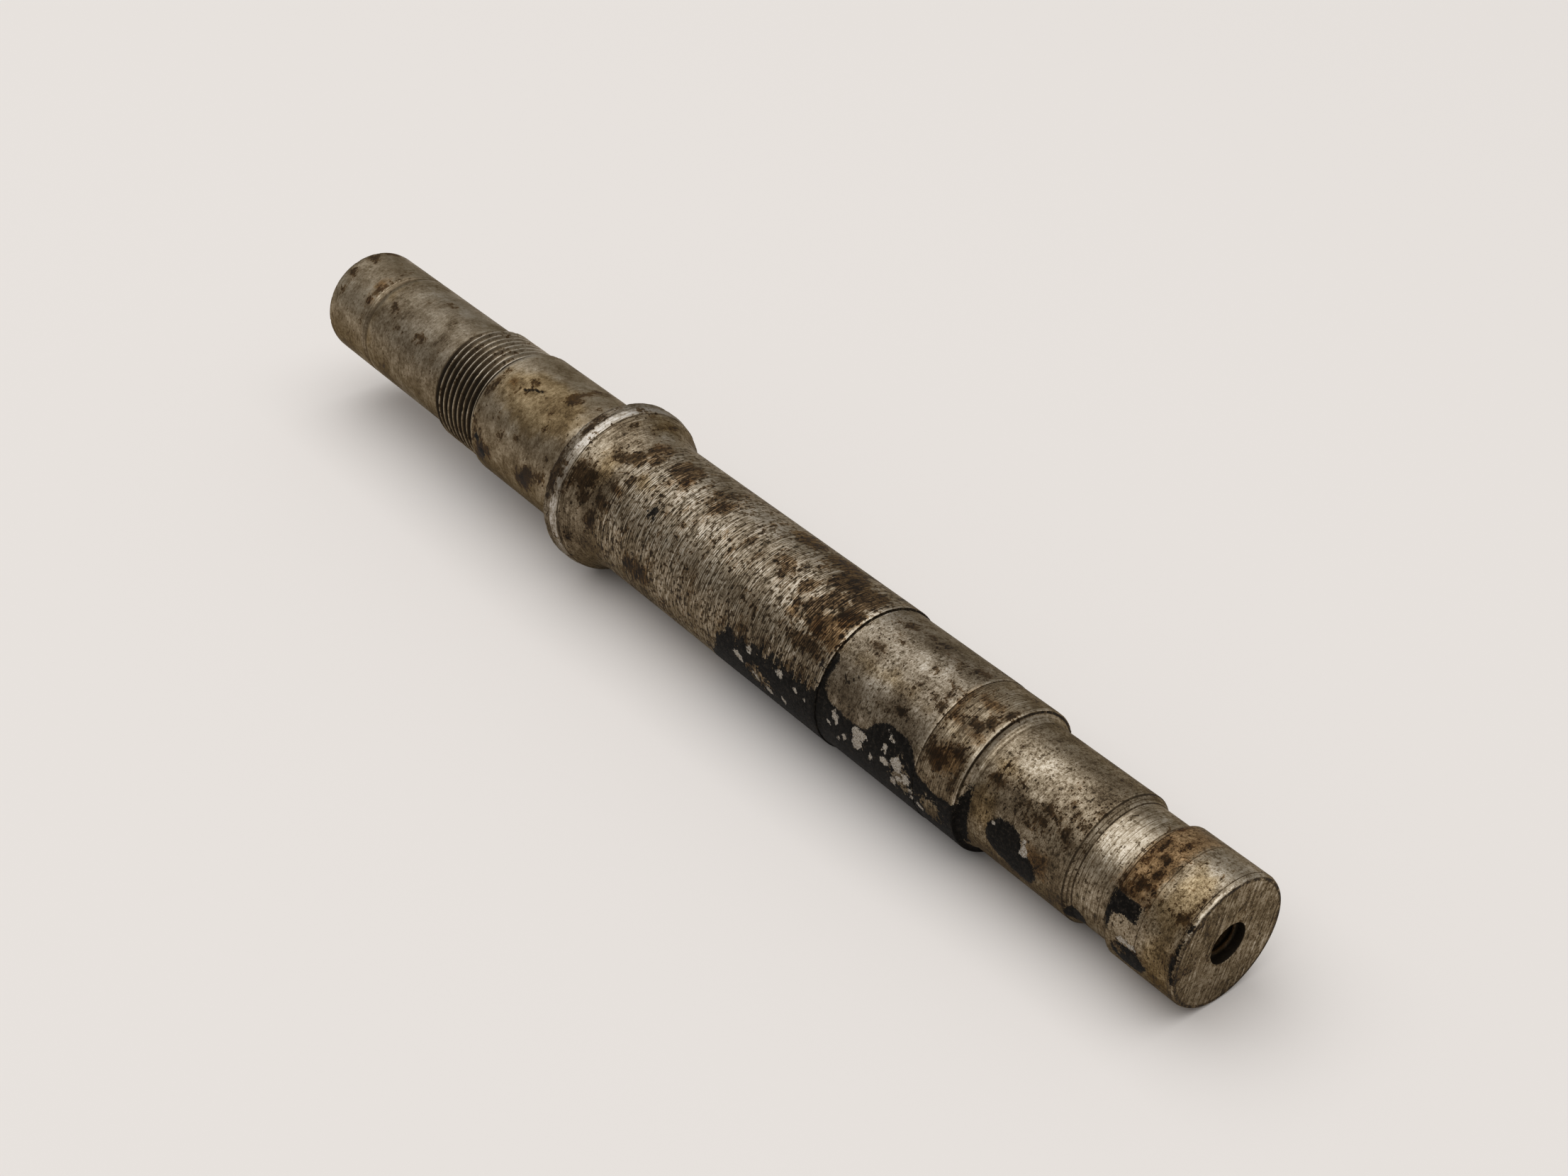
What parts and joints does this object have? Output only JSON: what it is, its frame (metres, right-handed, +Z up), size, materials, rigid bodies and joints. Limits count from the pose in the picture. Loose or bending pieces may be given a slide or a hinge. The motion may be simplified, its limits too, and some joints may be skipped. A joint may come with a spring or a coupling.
{
  "type": "stepped shaft",
  "caption": "Worn steel shaft turned in steps, with a collar, a fine thread, ground journals and seats, a turned neck and a tapped end.",
  "frame": {"origin": "centre of the footprint's box, on the surface that the shaft lies on", "axes": "+Z up; +X along the shaft from the threaded end to the tapped end, over the surface; the shaft's own axis dips about 2 degrees towards +X, as it rests on collar and band"},
  "size_m": [0.2144, 0.029, 0.029],
  "materials": {
    "steel": "turned and ground carbon steel, worn, with brown stain, rust pits and old black coating"
  },
  "bodies": {
    "root": {"shaft": "steel"}
  },
  "joints": []
}
